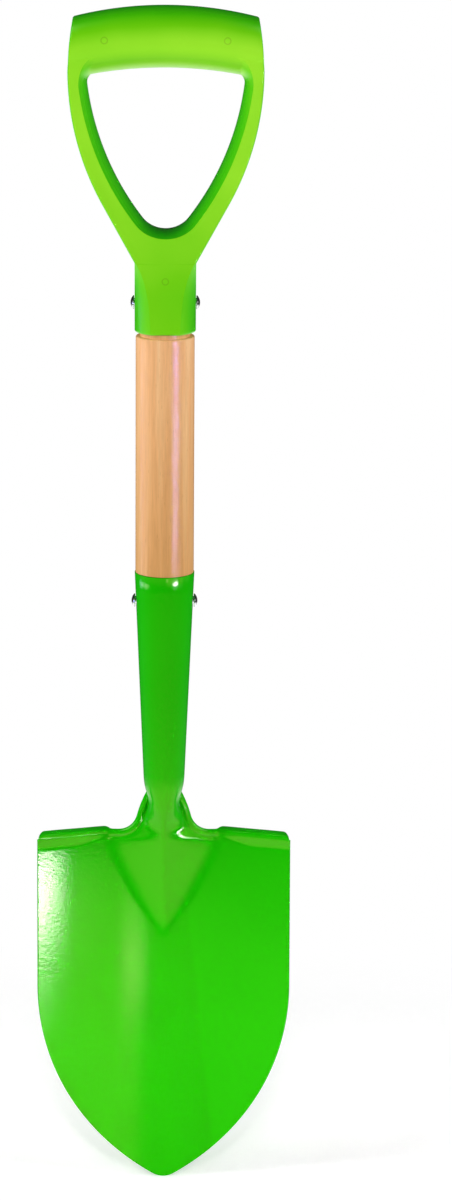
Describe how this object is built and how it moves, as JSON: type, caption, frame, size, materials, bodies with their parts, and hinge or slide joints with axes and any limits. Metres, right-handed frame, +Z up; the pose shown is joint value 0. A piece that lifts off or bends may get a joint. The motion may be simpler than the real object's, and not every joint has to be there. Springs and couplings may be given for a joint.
{
  "type": "toy garden spade",
  "caption": "Child's round-point garden spade: pressed green steel blade with rolled socket, turned hardwood shaft and moulded plastic D handle, held by through rivets.",
  "frame": {"origin": "underside of the grip at its middle, on the shaft's axis, where the spade hangs from a hook", "axes": "+Z up along the shaft towards the grip; the hollow front of the blade faces -Y; +X is to the right as the front is looked at"},
  "size_m": [0.1494, 0.0414, 0.6961],
  "materials": {
    "blade": "green powder coat, glossy",
    "shaft": "pale hardwood, clear lacquer",
    "handle": "yellow-green moulded plastic, semi-gloss",
    "rivet": "bright zinc-plated steel"
  },
  "bodies": {
    "root": {"blade": "blade", "shaft": "shaft", "handle": "handle", "handle_rivet": "rivet", "socket_rivet": "rivet"}
  },
  "joints": []
}
